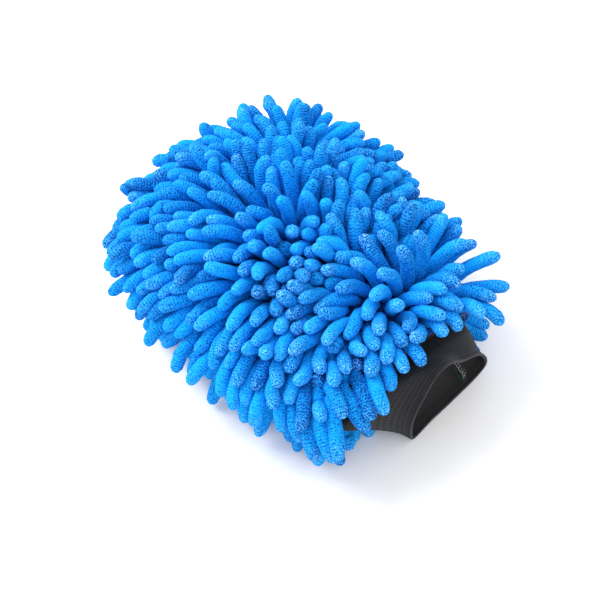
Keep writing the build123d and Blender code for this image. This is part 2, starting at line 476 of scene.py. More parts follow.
@dataclass(frozen=True)
class ThreadFinish:
    """Sewing thread: spun polyester is matt, and clear monofilament glints like fishing line."""

    name: str
    colour: str
    roughness: float = 0.7
    clear: float = 0.0

    def material(self) -> bpy.types.Material:
        """Builds the thread's material."""
        made = bpy.data.materials.new(self.name)
        made.use_nodes = True
        shader = made.node_tree.nodes["Principled BSDF"]
        shader.inputs["Base Color"].default_value = linear(self.colour)
        shader.inputs["Roughness"].default_value = self.roughness
        shader.inputs["Transmission Weight"].default_value = self.clear
        return made


@dataclass(frozen=True)
class SweepFinish:
    """A matt white studio sweep, lit until it is nearly paper white."""

    name: str = "white_sweep"
    colour: str = "fbfbfc"

    def material(self) -> bpy.types.Material:
        """Builds the floor's material."""
        made = bpy.data.materials.new(self.name)
        made.use_nodes = True
        shader = made.node_tree.nodes["Principled BSDF"]
        shader.inputs["Base Color"].default_value = linear(self.colour)
        shader.inputs["Roughness"].default_value = 0.9
        shader.inputs["Specular IOR Level"].default_value = 0.1
        return made


# ---- the noodles ----


class Panel(Enum):
    """The two faces of the mitt, named as their nodes are."""

    TOP = "top"
    BOTTOM = "bottom"


def loose_solids(node: bpy.types.Object) -> list[np.ndarray]:
    """Splits a frame node's mesh into its separate solids.

    Args:
        node: a CAD node, whose triangles don't share their vertices.

    Returns:
        Each solid's vertices, in the order that the solids come in the mesh.
    """
    points = mesh_points(node)
    corners = np.array(mesh_faces(node))
    keys, merged = np.unique(np.round(points / 1e-6).astype(np.int64), axis=0, return_inverse=True)
    corners = merged.reshape(-1)[corners]
    label = np.arange(len(keys))
    while True:
        lower = label.copy()
        np.minimum.at(lower, corners.ravel(), np.repeat(label[corners].min(axis=1), 3))
        lower = lower[lower]
        if np.array_equal(lower, label):
            break
        label = lower
    spots = keys * 1e-6
    return [spots[label == one] for one in np.unique(label)]


@dataclass(frozen=True)
class LipSlack:
    """How the slack band settles: its lip stands a little higher and is drawn back.

    The CAD cuff keeps its own shape. The knit, its trim and the faces that the noodles lie
    against are all moved by the same amounts, so they stay together.
    """

    draw: tuple[float, float] = (1.0 * MM, 6.0 * MM)
    rise: float = 0.15
    reach: float = 24 * MM
    overshoot: float = 1.1

    def settle(self, points: np.ndarray) -> np.ndarray:
        """Moves points of the cuff more the nearer they are to its lip.

        Args:
            points: the points, with their axes last.

        Returns:
            The moved points.
        """
        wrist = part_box("top_backing")[0].y
        share = ((wrist - points[..., 1]) / self.reach).clip(0, self.overshoot)
        share = share * share * (3 - 2 * share)
        moved = points.copy()
        moved[..., 0] += self.draw[0] * share
        moved[..., 1] += self.draw[1] * share
        moved[..., 2] *= 1 + self.rise * share
        return moved


class MittBody:
    """The outer faces of the backing and the cuff, which the noodles lie against."""

    def __init__(self) -> None:
        """Collects the outward-facing triangles of the CAD layers."""
        points: list = []
        faces: list = []
        self.seam_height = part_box("top_backing")[0].z
        for name in ("top_backing", "bottom_backing", "elastic_cuff"):
            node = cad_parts[name]
            low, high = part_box(name)
            middle = (low + high) / 2
            spots = mesh_points(node)
            if name == "elastic_cuff":
                spots = LipSlack().settle(spots)
            for face in node.data.polygons:
                spine = Vector((middle.x, face.center.y, self.seam_height))
                if name == "elastic_cuff":
                    spine.z = middle.z
                if (face.center - spine).dot(face.normal) > 0:
                    start = len(points)
                    points.extend(Vector(spots[v]) for v in face.vertices)
                    faces.append(tuple(range(start, start + 3)))
        self.tree = BVHTree.FromPolygons(points, faces)

    def push_out(self, points: np.ndarray, clearance: float) -> np.ndarray:
        """Moves points that lie nearer to the body than the clearance, along its normals.

        Args:
            points: the points, as rows.
            clearance: how far from the surface they must stay, in metres.

        Returns:
            The shift of each point.
        """
        shift = np.zeros_like(points)
        for index, point in enumerate(points):
            spot, normal, _, _ = self.tree.find_nearest(Vector(point), 0.02)
            if spot is None:
                continue
            away = (Vector(point) - spot).dot(normal)
            if away < clearance:
                shift[index] = np.array(normal) * (clearance - away)
        return shift


@dataclass
class NoodleField:
    """Every noodle's root, heading and length, read from the frame's noodle rows."""

    rows: list[str]
    row_of: np.ndarray
    on_top: np.ndarray
    roots: np.ndarray
    headings: np.ndarray
    lengths: np.ndarray
    radius: float

    @classmethod
    def from_frame(cls, body: MittBody) -> "NoodleField":
        """Reads the field from the CAD noodles.

        Args:
            body: the mitt's body, which tells a noodle's root end from its tip.

        Returns:
            The noodle field.
        """
        names = sorted(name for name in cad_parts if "_noodles_row_" in name)
        rows, tops, roots, headings, lengths = [], [], [], [], []
        widths = []
        for number, name in enumerate(names):
            for solid in loose_solids(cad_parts[name]):
                middle = solid.mean(axis=0)
                _, _, axes = np.linalg.svd(solid - middle, full_matrices=False)
                axis = axes[0]
                along = (solid - middle) @ axis
                centre = middle - axis * (middle @ axis) + axis * ((along.min() + along.max()) / 2 + middle @ axis)
                across = (solid - middle) - np.outer(along, axis)
                width = np.percentile(np.linalg.norm(across, axis=1), 90)
                half = (along.max() - along.min()) / 2
                ends = [centre - axis * half, centre + axis * half]
                gaps = [(body.tree.find_nearest(Vector(end))[0] - Vector(end)).length for end in ends]
                foot, tip = (ends[0], ends[1]) if gaps[0] < gaps[1] else (ends[1], ends[0])
                rows.append(number)
                tops.append(name.startswith(Panel.TOP.value))
                roots.append(foot)
                headings.append(unit(tip - foot))
                lengths.append(2 * half)
                widths.append(width)
        radius = float(np.median(widths))
        roots = np.array(roots) + np.array(headings) * radius
        lengths = np.array(lengths)
        free = np.median(lengths[np.array(tops)])
        pressed = ~np.array(tops) & (lengths < lengths[np.array(tops)].min() * 0.98)
        lengths[pressed] = free
        return cls(names, np.array(rows), np.array(tops), roots, np.array(headings), lengths, radius)


@dataclass(frozen=True)
class CombStroke:
    """Which way the pile lies about one place on the top of the mitt.

    The place is in millimetres from the wrist's end of the frame's middle line, and the way
    is how the noodles that are rooted there point. Their length is a share of the usual one.
    """

    place: tuple[float, float, float]
    way: tuple[float, float, float]
    length: float = 1.0


COMB = (
    CombStroke((-36, 171, 56), (-0.9, 0.4, 0.2)),
    CombStroke((-60, 169, 52), (-1.0, 0.0, 0.0)),
    CombStroke((-11, 186, 52), (-0.8, 0.5, 0.1), 0.85),
    CombStroke((9, 173, 58), (-0.7, 0.4, 0.2), 0.85),
    CombStroke((-31, 119, 62), (-0.8, 0.2, 0.5)),
    CombStroke((-38, 140, 61), (-0.9, 0.3, 0.3)),
    CombStroke((3, 143, 62), (-0.4, 0.5, 0.8)),
    CombStroke((-2, 125, 64), (-0.1, 0.6, 0.8)),
    CombStroke((29, 173, 59), (-0.4, 0.6, 0.3), 0.8),
    CombStroke((16, 130, 62), (0.2, 0.5, 0.9)),
    CombStroke((48, 167, 50), (0.0, 0.6, 0.7)),
    CombStroke((23, 121, 61), (0.4, 0.3, 0.9)),
    CombStroke((24, 103, 60), (0.2, 0.4, 0.9)),
    CombStroke((25, 73, 60), (0.0, 0.6, 0.8)),
    CombStroke((65, 161, 53), (0.4, 0.5, 0.8)),
    CombStroke((82, 157, 49), (0.6, -0.2, 0.7)),
    CombStroke((69, 147, 46), (0.7, -0.5, 0.6)),
    CombStroke((82, 135, 44), (0.6, -0.7, 0.4)),
    CombStroke((82, 105, 43), (0.6, -0.7, 0.4)),
    CombStroke((52, 114, 57), (0.6, -0.7, 0.5)),
    CombStroke((29, 71, 57), (0.7, -0.2, 0.7)),
    CombStroke((67, 78, 40), (0.6, -0.6, 0.4), 0.8),
    CombStroke((48, 64, 51), (0.6, -0.6, 0.5)),
    CombStroke((-5, 92, 62), (-0.4, -0.4, 0.8)),
    CombStroke((-6, 75, 61), (-0.4, -0.4, 0.8)),
    CombStroke((-21, 77, 60), (-0.5, -0.4, 0.8)),
    CombStroke((-26, 89, 61), (-0.7, -0.1, 0.7)),
    CombStroke((-42, 82, 59), (-0.9, 0.1, 0.5)),
    CombStroke((-56, 102, 58), (-1.0, 0.1, 0.1)),
    CombStroke((-55, 124, 55), (-0.9, 0.2, 0.3)),
    CombStroke((-70, 122, 47), (-0.8, -0.1, -0.5), 0.85),
    CombStroke((-70, 87, 49), (-0.8, -0.1, -0.5), 0.9),
    CombStroke((-62, 68, 53), (-1.0, -0.2, 0.0)),
    CombStroke((-48, 52, 57), (-1.0, -0.1, 0.3)),
    CombStroke((-39, 63, 57), (-0.6, -0.4, 0.7)),
    CombStroke((-75, 70, 42), (-0.6, -0.4, -0.7)),
    CombStroke((-68, 47, 51), (-0.8, -0.4, -0.4)),
    CombStroke((-47, 44, 61), (-1.0, -0.2, -0.1)),
    CombStroke((-56, 33, 60), (-0.7, -0.6, -0.4)),
    CombStroke((-56, 14, 46), (-0.4, -0.6, -0.7)),
    CombStroke((-44, 18, 54), (-0.4, -0.7, -0.4)),
    CombStroke((-28, 27, 68), (-0.6, -0.8, -0.2)),
    CombStroke((-32, 14, 53), (-0.3, -0.8, -0.1)),
    CombStroke((-20, 12, 54), (-0.5, -0.8, 0.1), 0.82),
    CombStroke((-13, 8, 54), (-0.4, -0.8, 0.3), 0.78),
    CombStroke((-38, 5, 47), (-0.2, -0.8, -0.5), 0.85),
    CombStroke((-52, 5, 38), (0.0, -0.7, -0.6), 0.9),
    CombStroke((-46, 6, 28), (-0.1, -0.7, -0.5), 0.8),
    CombStroke((-6, 46, 58), (-0.8, 0.5, 0.4)),
    CombStroke((-18, 44, 57), (-0.9, 0.3, 0.3)),
    CombStroke((-20, 35, 56), (-0.9, -0.3, 0.1)),
    CombStroke((-4, 30, 55), (-0.7, -0.4, 0.5)),
    CombStroke((8, 42, 56), (-0.2, 0.7, 0.7)),
    CombStroke((20, 36, 54), (0.0, 0.7, 0.7)),
    CombStroke((30, 32, 51), (0.1, 0.7, 0.7)),
    CombStroke((42, 36, 47), (0.2, 0.6, 0.7)),
    CombStroke((48, 30, 43), (0.5, 0.2, 0.7)),
    CombStroke((60, 44, 38), (0.6, -0.3, 0.6), 0.85),
    CombStroke((56, 28, 42), (0.8, -0.6, 0.2), 1.25),
    CombStroke((26, 22, 51), (-0.6, -0.4, 0.7)),
    CombStroke((34, 14, 47), (-0.1, -0.9, 0.4), 0.9),
    CombStroke((42, 24, 45), (0.1, -0.5, 0.9)),
    CombStroke((50, 16, 44), (0.6, -0.7, 0.0), 1.2),
    CombStroke((24, 8, 54), (0.1, -0.7, 0.6), 0.72),
    CombStroke((44, 6, 42), (0.5, -0.8, -0.1), 1.15),
    CombStroke((9, 8, 54), (-0.2, -0.7, 0.6), 0.72),
    CombStroke((46, 4, 34), (0.6, -0.7, -0.3), 1.1),
    CombStroke((10, 28, 54), (-0.6, -0.6, 0.5)),
    CombStroke((8, 18, 54), (-0.5, -0.6, 0.6), 0.8),
)


@dataclass
class NoodlePile:
    """The noodles as soft rods: groomed, then dropped and settled against each other."""

    field: NoodleField
    body: MittBody
    joints: int = 7
    rounds: int = 120
    droop: float = 0.00006
    curl: float = 0.38
    stray: float = 0.11
    sway: float = 0.08
    comb_reach: float = 0.0105
    arch: float = 0.8
    tuck: float = 0.35
    stretch: float = 1.06
    seed: int = 11

    def groom(self) -> tuple[np.ndarray, np.ndarray]:
        """Turns each noodle's heading the way the pile lies.

        Returns:
            The groomed headings, and each noodle's length as a share of the usual one.
        """
        field = self.field
        rng = np.random.default_rng(self.seed)
        start = np.array([0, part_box("top_backing")[0].y, 0])
        places = np.array([stroke.place for stroke in COMB]) * MM + start
        ways = unit(np.array([stroke.way for stroke in COMB]))
        apart = np.linalg.norm((field.roots[:, None] - places[None]) * (1, 1, 0.6), axis=2)
        weight = np.exp(-((apart / self.comb_reach) ** 2) / 2)
        pull = weight @ ways + 0.05 * field.headings
        shares = (weight @ np.array([stroke.length for stroke in COMB]) + 0.05) / (weight.sum(axis=1) + 0.05)
        headings = unit(pull)
        under = ~field.on_top
        combed = weight[under].sum(axis=1, keepdims=True).clip(0, 1)
        headings[under] = unit(field.headings[under] * (self.tuck, self.tuck, 1.0) + headings[under] * combed)
        shares[under] *= 0.9
        x, y = field.roots[:, 0] / MM, field.roots[:, 1] / MM
        sway = np.stack(
            [
                np.sin(x / 15 + 1.3 * np.sin(y / 21)),
                np.sin(y / 17 + 1.7 * np.sin(x / 19) + 1.0),
                0.5 * np.sin((x + y) / 13),
            ],
            axis=1,
        )
        headings = headings + self.sway * sway + self.stray * rng.normal(size=headings.shape)
        return unit(headings), shares

    def settle(self) -> np.ndarray:
        """Lets the noodles bend and fall until they rest on each other, the body and the table.

        Returns:
            The middle line of each noodle, as its joints from the root to the tip.
        """
        field = self.field
        rng = np.random.default_rng(self.seed + 1)
        count, joints = len(field.roots), self.joints
        heading, shares = self.groom()
        uneven = rng.normal(1, 0.05, count).clip(0.88, 1.14)
        step = (field.lengths * self.stretch * shares * uneven - 2 * field.radius) / (joints - 1)
        side = unit(np.cross(heading, rng.normal(size=heading.shape)))
        curl = self.curl * rng.gamma(1.6, 0.45, size=(count, 1))
        normals = np.array([self.body.tree.find_nearest(Vector(root))[1] for root in field.roots])
        line = np.zeros((count, joints, 3))
        line[:, 0] = field.roots
        for joint in range(1, joints):
            share = (joint - 1) / (joints - 2)
            lift = normals * self.arch * (0.6 - share)
            way = unit(heading + lift + side * curl * share * share)
            line[:, joint] = line[:, joint - 1] + way * step[:, None]
        rest = line - line[:, :1]
        hold = np.linspace(0.6, 0.10, joints)[None, :, None]
        owner = np.repeat(np.arange(count), joints)
        touch = 2 * field.radius * 0.94
        before = line.copy()
        for turn in range(self.rounds):
            drift = (line - before) * 0.82
            before = line.copy()
            line = line + drift
            line[:, :, 2] -= self.droop * np.linspace(0, 1, joints)[None, :]
            line += (rest + line[:, :1] - line) * hold * 0.3
            flat = line.reshape(-1, 3)
            if turn % 3 == 0:
                pairs = self.near_pairs(flat, owner, touch * 1.25)
            if len(pairs[0]):
                gap = flat[pairs[0]] - flat[pairs[1]]
                far = np.linalg.norm(gap, axis=1)
                bite = np.clip(touch - far, 0, None)[:, None]
                push = unit(gap) * bite * 0.42
                np.add.at(flat, pairs[0], push)
                np.add.at(flat, pairs[1], -push)
            if turn % 3 == 0:
                flat += self.body.push_out(flat, field.radius * 0.9)
            flat[:, 2] = np.maximum(flat[:, 2], field.radius * 0.92)
            line = flat.reshape(count, joints, 3)
            line[:, 0] = field.roots
            for _ in range(2):
                for joint in range(1, joints):
                    reach = line[:, joint] - line[:, joint - 1]
                    stretch = np.linalg.norm(reach, axis=1)[:, None]
                    line[:, joint] = line[:, joint - 1] + reach / stretch * step[:, None]
        return line

    @staticmethod
    def near_pairs(points: np.ndarray, owner: np.ndarray, reach: float) -> tuple[np.ndarray, np.ndarray]:
        """Finds the pairs of joints of different noodles that are near each other.

        Args:
            points: all joints, as rows.
            owner: the noodle each joint belongs to.
            reach: the largest distance that counts.

        Returns:
            The first and the second joint's number of each pair.
        """
        firsts, seconds = [], []
        squares = (points**2).sum(axis=1)
        block = 512
        for start in range(0, len(points), block):
            end = min(start + block, len(points))
            gaps = squares[start:end, None] + squares[None, :] - 2 * points[start:end] @ points.T
            first, second = np.nonzero(gaps < reach * reach)
            first = first + start
            keep = (first < second) & (owner[first] != owner[second])
            firsts.append(first[keep])
            seconds.append(second[keep])
        return np.concatenate(firsts), np.concatenate(seconds)


@dataclass
class NoodleForm:
    """One chenille noodle, straight along +Z: shaped once, then copied and bent."""

    sides: int = 8
    profile: tuple[tuple[float, float], ...] = (
        (0.00, 0.70),
        (0.07, 0.92),
        (0.22, 1.00),
        (0.38, 1.03),
        (0.54, 1.02),
        (0.69, 1.03),
        (0.82, 1.00),
        (0.92, 0.84),
        (0.975, 0.52),
    )

    def build(self) -> bpy.types.Object:
        """Extrudes the noodle from a ring of vertices, closes its tip and unrolls its surface.

        Returns:
            The straight noodle, of length 1 and radius 1, with the UV map Pile.
        """
        deselect_all()
        bpy.ops.mesh.primitive_circle_add(
            vertices=self.sides, radius=self.profile[0][1], fill_type="NGON", location=(0, 0, 0)
        )
        form = bpy.context.object
        form.name = "noodle_form"
        bpy.ops.object.mode_set(mode="EDIT")
        bpy.ops.mesh.select_all(action="SELECT")
        for (low, narrow), (high, wide) in zip(self.profile, self.profile[1:]):
            bpy.ops.mesh.extrude_region_move(TRANSFORM_OT_translate={"value": (0, 0, high - low)})
            bpy.ops.transform.resize(value=(wide / narrow, wide / narrow, 1))
        bpy.ops.mesh.extrude_region_move(
            TRANSFORM_OT_translate={"value": (0, 0, 1 - self.profile[-1][0])}
        )
        bpy.ops.mesh.merge(type="CENTER")
        bpy.ops.mesh.select_all(action="SELECT")
        bpy.ops.mesh.normals_make_consistent(inside=False)
        bpy.ops.object.mode_set(mode="OBJECT")
        bpy.ops.object.shade_smooth()
        shape = mesh_points(form)
        turn = np.arctan2(shape[:, 1], shape[:, 0]) / (2 * math.pi)
        coords = []
        for face in form.data.polygons:
            around = np.array([turn[v] for v in face.vertices])
            around = np.where(around < around.max() - 0.5, around + 1, around)
            coords.extend(zip(around, (shape[v, 2] for v in face.vertices)))
        while form.data.uv_layers:
            form.data.uv_layers.remove(form.data.uv_layers[0])
        add_uv(form, "Pile", np.array(coords))
        return form


@dataclass
class NoodleCoat:
    """All noodle rows: each CAD row node is replaced by one piece of bent noodles."""

    pile: NoodlePile
    form: NoodleForm
    material: bpy.types.Material
    lumps: float = 0.035
    seed: int = 5

    def build(self) -> list[bpy.types.Object]:
        """Bends a copy of the noodle along each settled line and joins them row by row.

        Returns:
            One piece for each noodle row.
        """
        field = self.pile.field
        lines = self.pile.settle()
        form = self.form.build()
        shape = mesh_points(form)
        rng = np.random.default_rng(self.seed)
        girth = rng.normal(0.97, 0.035, len(lines)).clip(0.9, 1.05)
        shade = rng.normal(0.0, 0.5, len(lines)).clip(-1, 1)
        # Painted highlight on the tips: a random share for each noodle, raised for the noodles rooted near the wrist,
        # nearest the camera, where the tips catch the light.
        highlight_near_wrist = np.clip(0.9 - (field.roots[:, 1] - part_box("top_backing")[0].y) / 0.09, 0, 0.6)
        highlight_share = (rng.beta(1.0, 5.0, len(lines)) + highlight_near_wrist * rng.uniform(0.3, 1.0, len(lines))).clip(0, 1)
        made = []
        for number, name in enumerate(field.rows):
            noodles = []
            for one in np.nonzero(field.row_of == number)[0]:
                noodle = form.copy()
                noodle.data = form.data.copy()
                bpy.context.scene.collection.objects.link(noodle)
                swell = 1 + self.lumps * rng.normal(size=len(shape))
                bent = self.bend(shape, lines[one], field.radius * girth[one], swell)
                noodle.data.vertices.foreach_set("co", bent.ravel())
                # Painted highlight, growing towards each noodle's tip.
                painted_tip_highlight = np.clip((shape[:, 2] - 0.66) / 0.34, 0, 1) ** 1.3 * highlight_share[one]
                add_attribute(noodle, "tip", painted_tip_highlight)
                add_attribute(noodle, "shade", np.full(len(shape), shade[one]))
                self.scale_map(noodle, field.radius, field.lengths[one], rng.uniform(0, 1))
                noodles.append(noodle)
            made.append(self.join(noodles, name))
        bpy.data.objects.remove(form)
        return made

    def join(self, noodles: list[bpy.types.Object], name: str) -> bpy.types.Object:
        """Joins one row's noodles into the piece that replaces the row's CAD node."""
        deselect_all()
        for noodle in noodles:
            noodle.select_set(True)
        bpy.context.view_layer.objects.active = noodles[0]
        bpy.ops.object.join()
        row = bpy.context.object
        row.name = f"{name}_pile"
        row.data.name = row.name
        row.data.materials.append(self.material)
        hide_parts(name)
        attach(row, BODY)
        return row

    @staticmethod
    def scale_map(noodle: bpy.types.Object, radius: float, length: float, start: float) -> None:
        """Brings the noodle's UV map to metres, around and along it, from a start of its own."""
        layer = noodle.data.uv_layers["Pile"].data
        flat = np.empty(len(layer) * 2)
        layer.foreach_get("uv", flat)
        flat = flat.reshape(-1, 2) * (2 * math.pi * radius, length) + start
        layer.foreach_set("uv", flat.astype(np.float32).ravel())

    @staticmethod
    def bend(shape: np.ndarray, line: np.ndarray, radius: float, swell: np.ndarray) -> np.ndarray:
        """Bends the straight noodle along one settled line.

        Args:
            shape: the straight noodle's vertices, of length 1 and radius 1.
            line: the joints of the noodle's middle line.
            radius: the noodle's radius in metres.
            swell: how thick the noodle is at each vertex, as a share.

        Returns:
            The bent noodle's vertices.
        """
        first = line[0] - unit(line[1] - line[0]) * radius * 0.9
        last = line[-1] + unit(line[-1] - line[-2]) * radius
        knots = np.vstack([first, line, last])
        lengths = np.linalg.norm(np.diff(knots, axis=0), axis=1)
        arc = np.concatenate([[0], np.cumsum(lengths)])
        arc /= arc[-1]
        heights = np.unique(shape[:, 2])
        fine = np.linspace(0, 1, 25)
        path = np.stack([np.interp(fine, arc, knots[:, axis]) for axis in range(3)], axis=1)
        for _ in range(4):
            path[1:-1] = (path[:-2] + 2 * path[1:-1] + path[2:]) / 4
        spots = np.stack([np.interp(heights, fine, path[:, axis]) for axis in range(3)], axis=1)
        ways = unit(np.gradient(path, axis=0))
        ways = unit(np.stack([np.interp(heights, fine, ways[:, axis]) for axis in range(3)], axis=1))
        guide = (0.0, 0.0, 1.0) if abs(ways[0][2]) < 0.9 else (1.0, 0.0, 0.0)
        right = unit(np.cross(ways[0], guide))
        rights = []
        for way in ways:
            right = unit(right - way * (right @ way))
            rights.append(right)
        rights = np.array(rights)
        ups = np.cross(ways, rights)
        ring = np.searchsorted(heights, shape[:, 2])
        across = (shape[:, :1] * rights[ring] + shape[:, 1:2] * ups[ring]) * swell[:, None]
        return spots[ring] + across * radius


# ---- the cloth body ----


class Probe:
    """Feels for a CAD node's faces from inside it."""

    def __init__(self, name: str) -> None:
        """Takes the faces of one CAD node."""
        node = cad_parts[name]
        self.tree = BVHTree.FromPolygons([v.co.copy() for v in node.data.vertices], mesh_faces(node))

    def walls(self, start: np.ndarray, way: np.ndarray, reach: float = 0.15) -> tuple[float, float] | None:
        """How far the node's inner and outer faces are from a point inside it.

        Args:
            start: the point.
            way: the way to feel, of length 1.
            reach: the furthest that counts.

        Returns:
            The two distances, or None where there is no wall.
        """
        inner = self.tree.ray_cast(Vector(start), Vector(way), reach)[3]
        if inner is None:
            return None
        past = inner + 0.05 * MM
        outer = self.tree.ray_cast(Vector(start + way * past), Vector(way), reach)[3]
        return inner, past + (outer or MM)


@dataclass
class ClothPanel:
    """One half of a cloth layer: a domed sheet, open at the wrist, sewn along the side."""

    node: str
    side: Panel
    finish: bpy.types.Material
    slot: str
    flat: tuple[float, float]
    area: float
    columns: int = 56
    rows: int = 64
    caps: int = 4
    wrinkle: float = 0.25 * MM

    def build(self) -> bpy.types.Object:
        """Lays a grid over the middle of the CAD layer's wall and gives it its thickness.

        Returns:
            The panel.
        """
        low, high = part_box(self.node)
        up = 1 if self.side is Panel.TOP else -1
        seam = low.z if up > 0 else high.z
        probe = Probe(self.node)
        wall = self.thickness(probe, low, high, up, seam)
        spots = np.zeros((self.columns + 1, self.rows + 1 + self.caps, 3))
        stations = np.linspace(low.y + 0.3 * MM, high.y - wall - 0.6 * MM, self.rows + 1)
        middle = (low.x + high.x) / 2
        for row, along in enumerate(stations):
            start = np.array([middle, along, seam + 0.2 * MM * up])
            edges = [probe.walls(start, np.array([way, 0, 0])) for way in (1.0, -1.0)]
            start[0] += (sum(edges[0]) - sum(edges[1])) / 4
            middle = start[0]
            reach = (sum(edges[0]) + sum(edges[1])) / 4
            rise = sum(probe.walls(start, np.array([0, 0, float(up)]))) / 2
            for column in range(self.columns + 1):
                angle = math.pi * (0.002 + 0.996 * column / self.columns)
                way = unit(np.array([reach * math.cos(angle), 0, rise * math.sin(angle) * up]))
                near, far = probe.walls(start, way) or (reach, reach)
                spots[column, row] = start + way * (near + far) / 2
        centre = np.array([middle, high.y - wall / 2, seam + 0.2 * MM * up])
        last = spots[:, self.rows]
        for cap in range(self.caps):
            share = 1 - (cap + 1) / self.caps * 0.98
            ring = centre + (last - centre) * share
            ring[:, 1] = centre[1]
            spots[:, self.rows + 1 + cap] = ring
        x, y = spots[..., 0] / MM, spots[..., 1] / MM
        spots[..., 2] += self.wrinkle * (np.sin(x / 5 + 2 * np.sin(y / 13)) + np.sin(y / 6 + np.sin(x / 9)))
        piece = cloth_grid(f"{self.node}_cloth", spots, "Cloth", self.flat_places(spots))
        return self.thicken(piece, wall)

    @staticmethod
    def thickness(probe: Probe, low: Vector, high: Vector, up: int, seam: float) -> float:
        """The layer's wall, measured straight over the middle of the mitt."""
        start = np.array([(low.x + high.x) / 2, (low.y + high.y) / 2, seam + 0.2 * MM * up])
        near, far = probe.walls(start, np.array([0, 0, float(up)]))
        return far - near

    @staticmethod
    def flat_places(spots: np.ndarray) -> np.ndarray:
        """Each point's place on the flat cloth: across from the side seam and along."""
        across = np.zeros(spots.shape[:2])
        across[1:] = np.cumsum(np.linalg.norm(np.diff(spots, axis=0), axis=2), axis=0)
        along = np.zeros(spots.shape[:2])
        along[:, 1:] = np.cumsum(np.linalg.norm(np.diff(spots, axis=1), axis=2), axis=1)
        return np.stack([across - across[-1:] / 2, along], axis=2)

    def thicken(self, piece: bpy.types.Object, wall: float) -> bpy.types.Object:
        """Gives the sheet its wall, its finish and its place in the frame."""
        deselect_all()
        piece.select_set(True)
        bpy.context.view_layer.objects.active = piece
        bpy.ops.object.mode_set(mode="EDIT")
        bpy.ops.mesh.select_all(action="SELECT")
        bpy.ops.mesh.normals_make_consistent(inside=False)
        bpy.ops.object.mode_set(mode="OBJECT")
        solid = piece.modifiers.new("wall", "SOLIDIFY")
        solid.thickness = wall * 0.9
        solid.offset = 0
        bpy.ops.object.modifier_apply(modifier=solid.name)
        piece.data.materials.append(self.finish)
        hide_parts(self.node)
        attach(piece, BODY)
        return piece


# ---- the knitted cuff ----


@dataclass
class CuffAxis:
    """The middle line of the cuff's hollow, from inside the wrist out to the lip."""

    reaches: tuple[float, ...] = (-16, 0, 6, 12, 18, 24)
    shifts: tuple[float, ...] = (0, 0, 2.6, 10.0, 17.5, 22.0)
    heights: tuple[float, ...] = (38.5, 38.5, 36.5, 32.0, 25.5, 22.0)
    turns: tuple[float, ...] = (0, 0, 0.4, 1.5, 2.4, 3.0)

    def at(self, reach: float) -> tuple[np.ndarray, np.ndarray]:
        """The middle point and the way across at some distance out from the wrist."""
        low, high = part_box("elastic_cuff")
        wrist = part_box("top_backing")[0].y
        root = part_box("join_thread_end")[0].x - 36.2 * MM
        shift = np.interp(reach, self.reaches, self.shifts) * MM
        height = np.interp(reach, self.reaches, self.heights) * MM
        turn = math.radians(np.interp(reach, self.reaches, self.turns))
        return (
            np.array([root + shift, wrist - reach * MM, height]),
            np.array([math.cos(turn), math.sin(turn), 0.0]),
        )


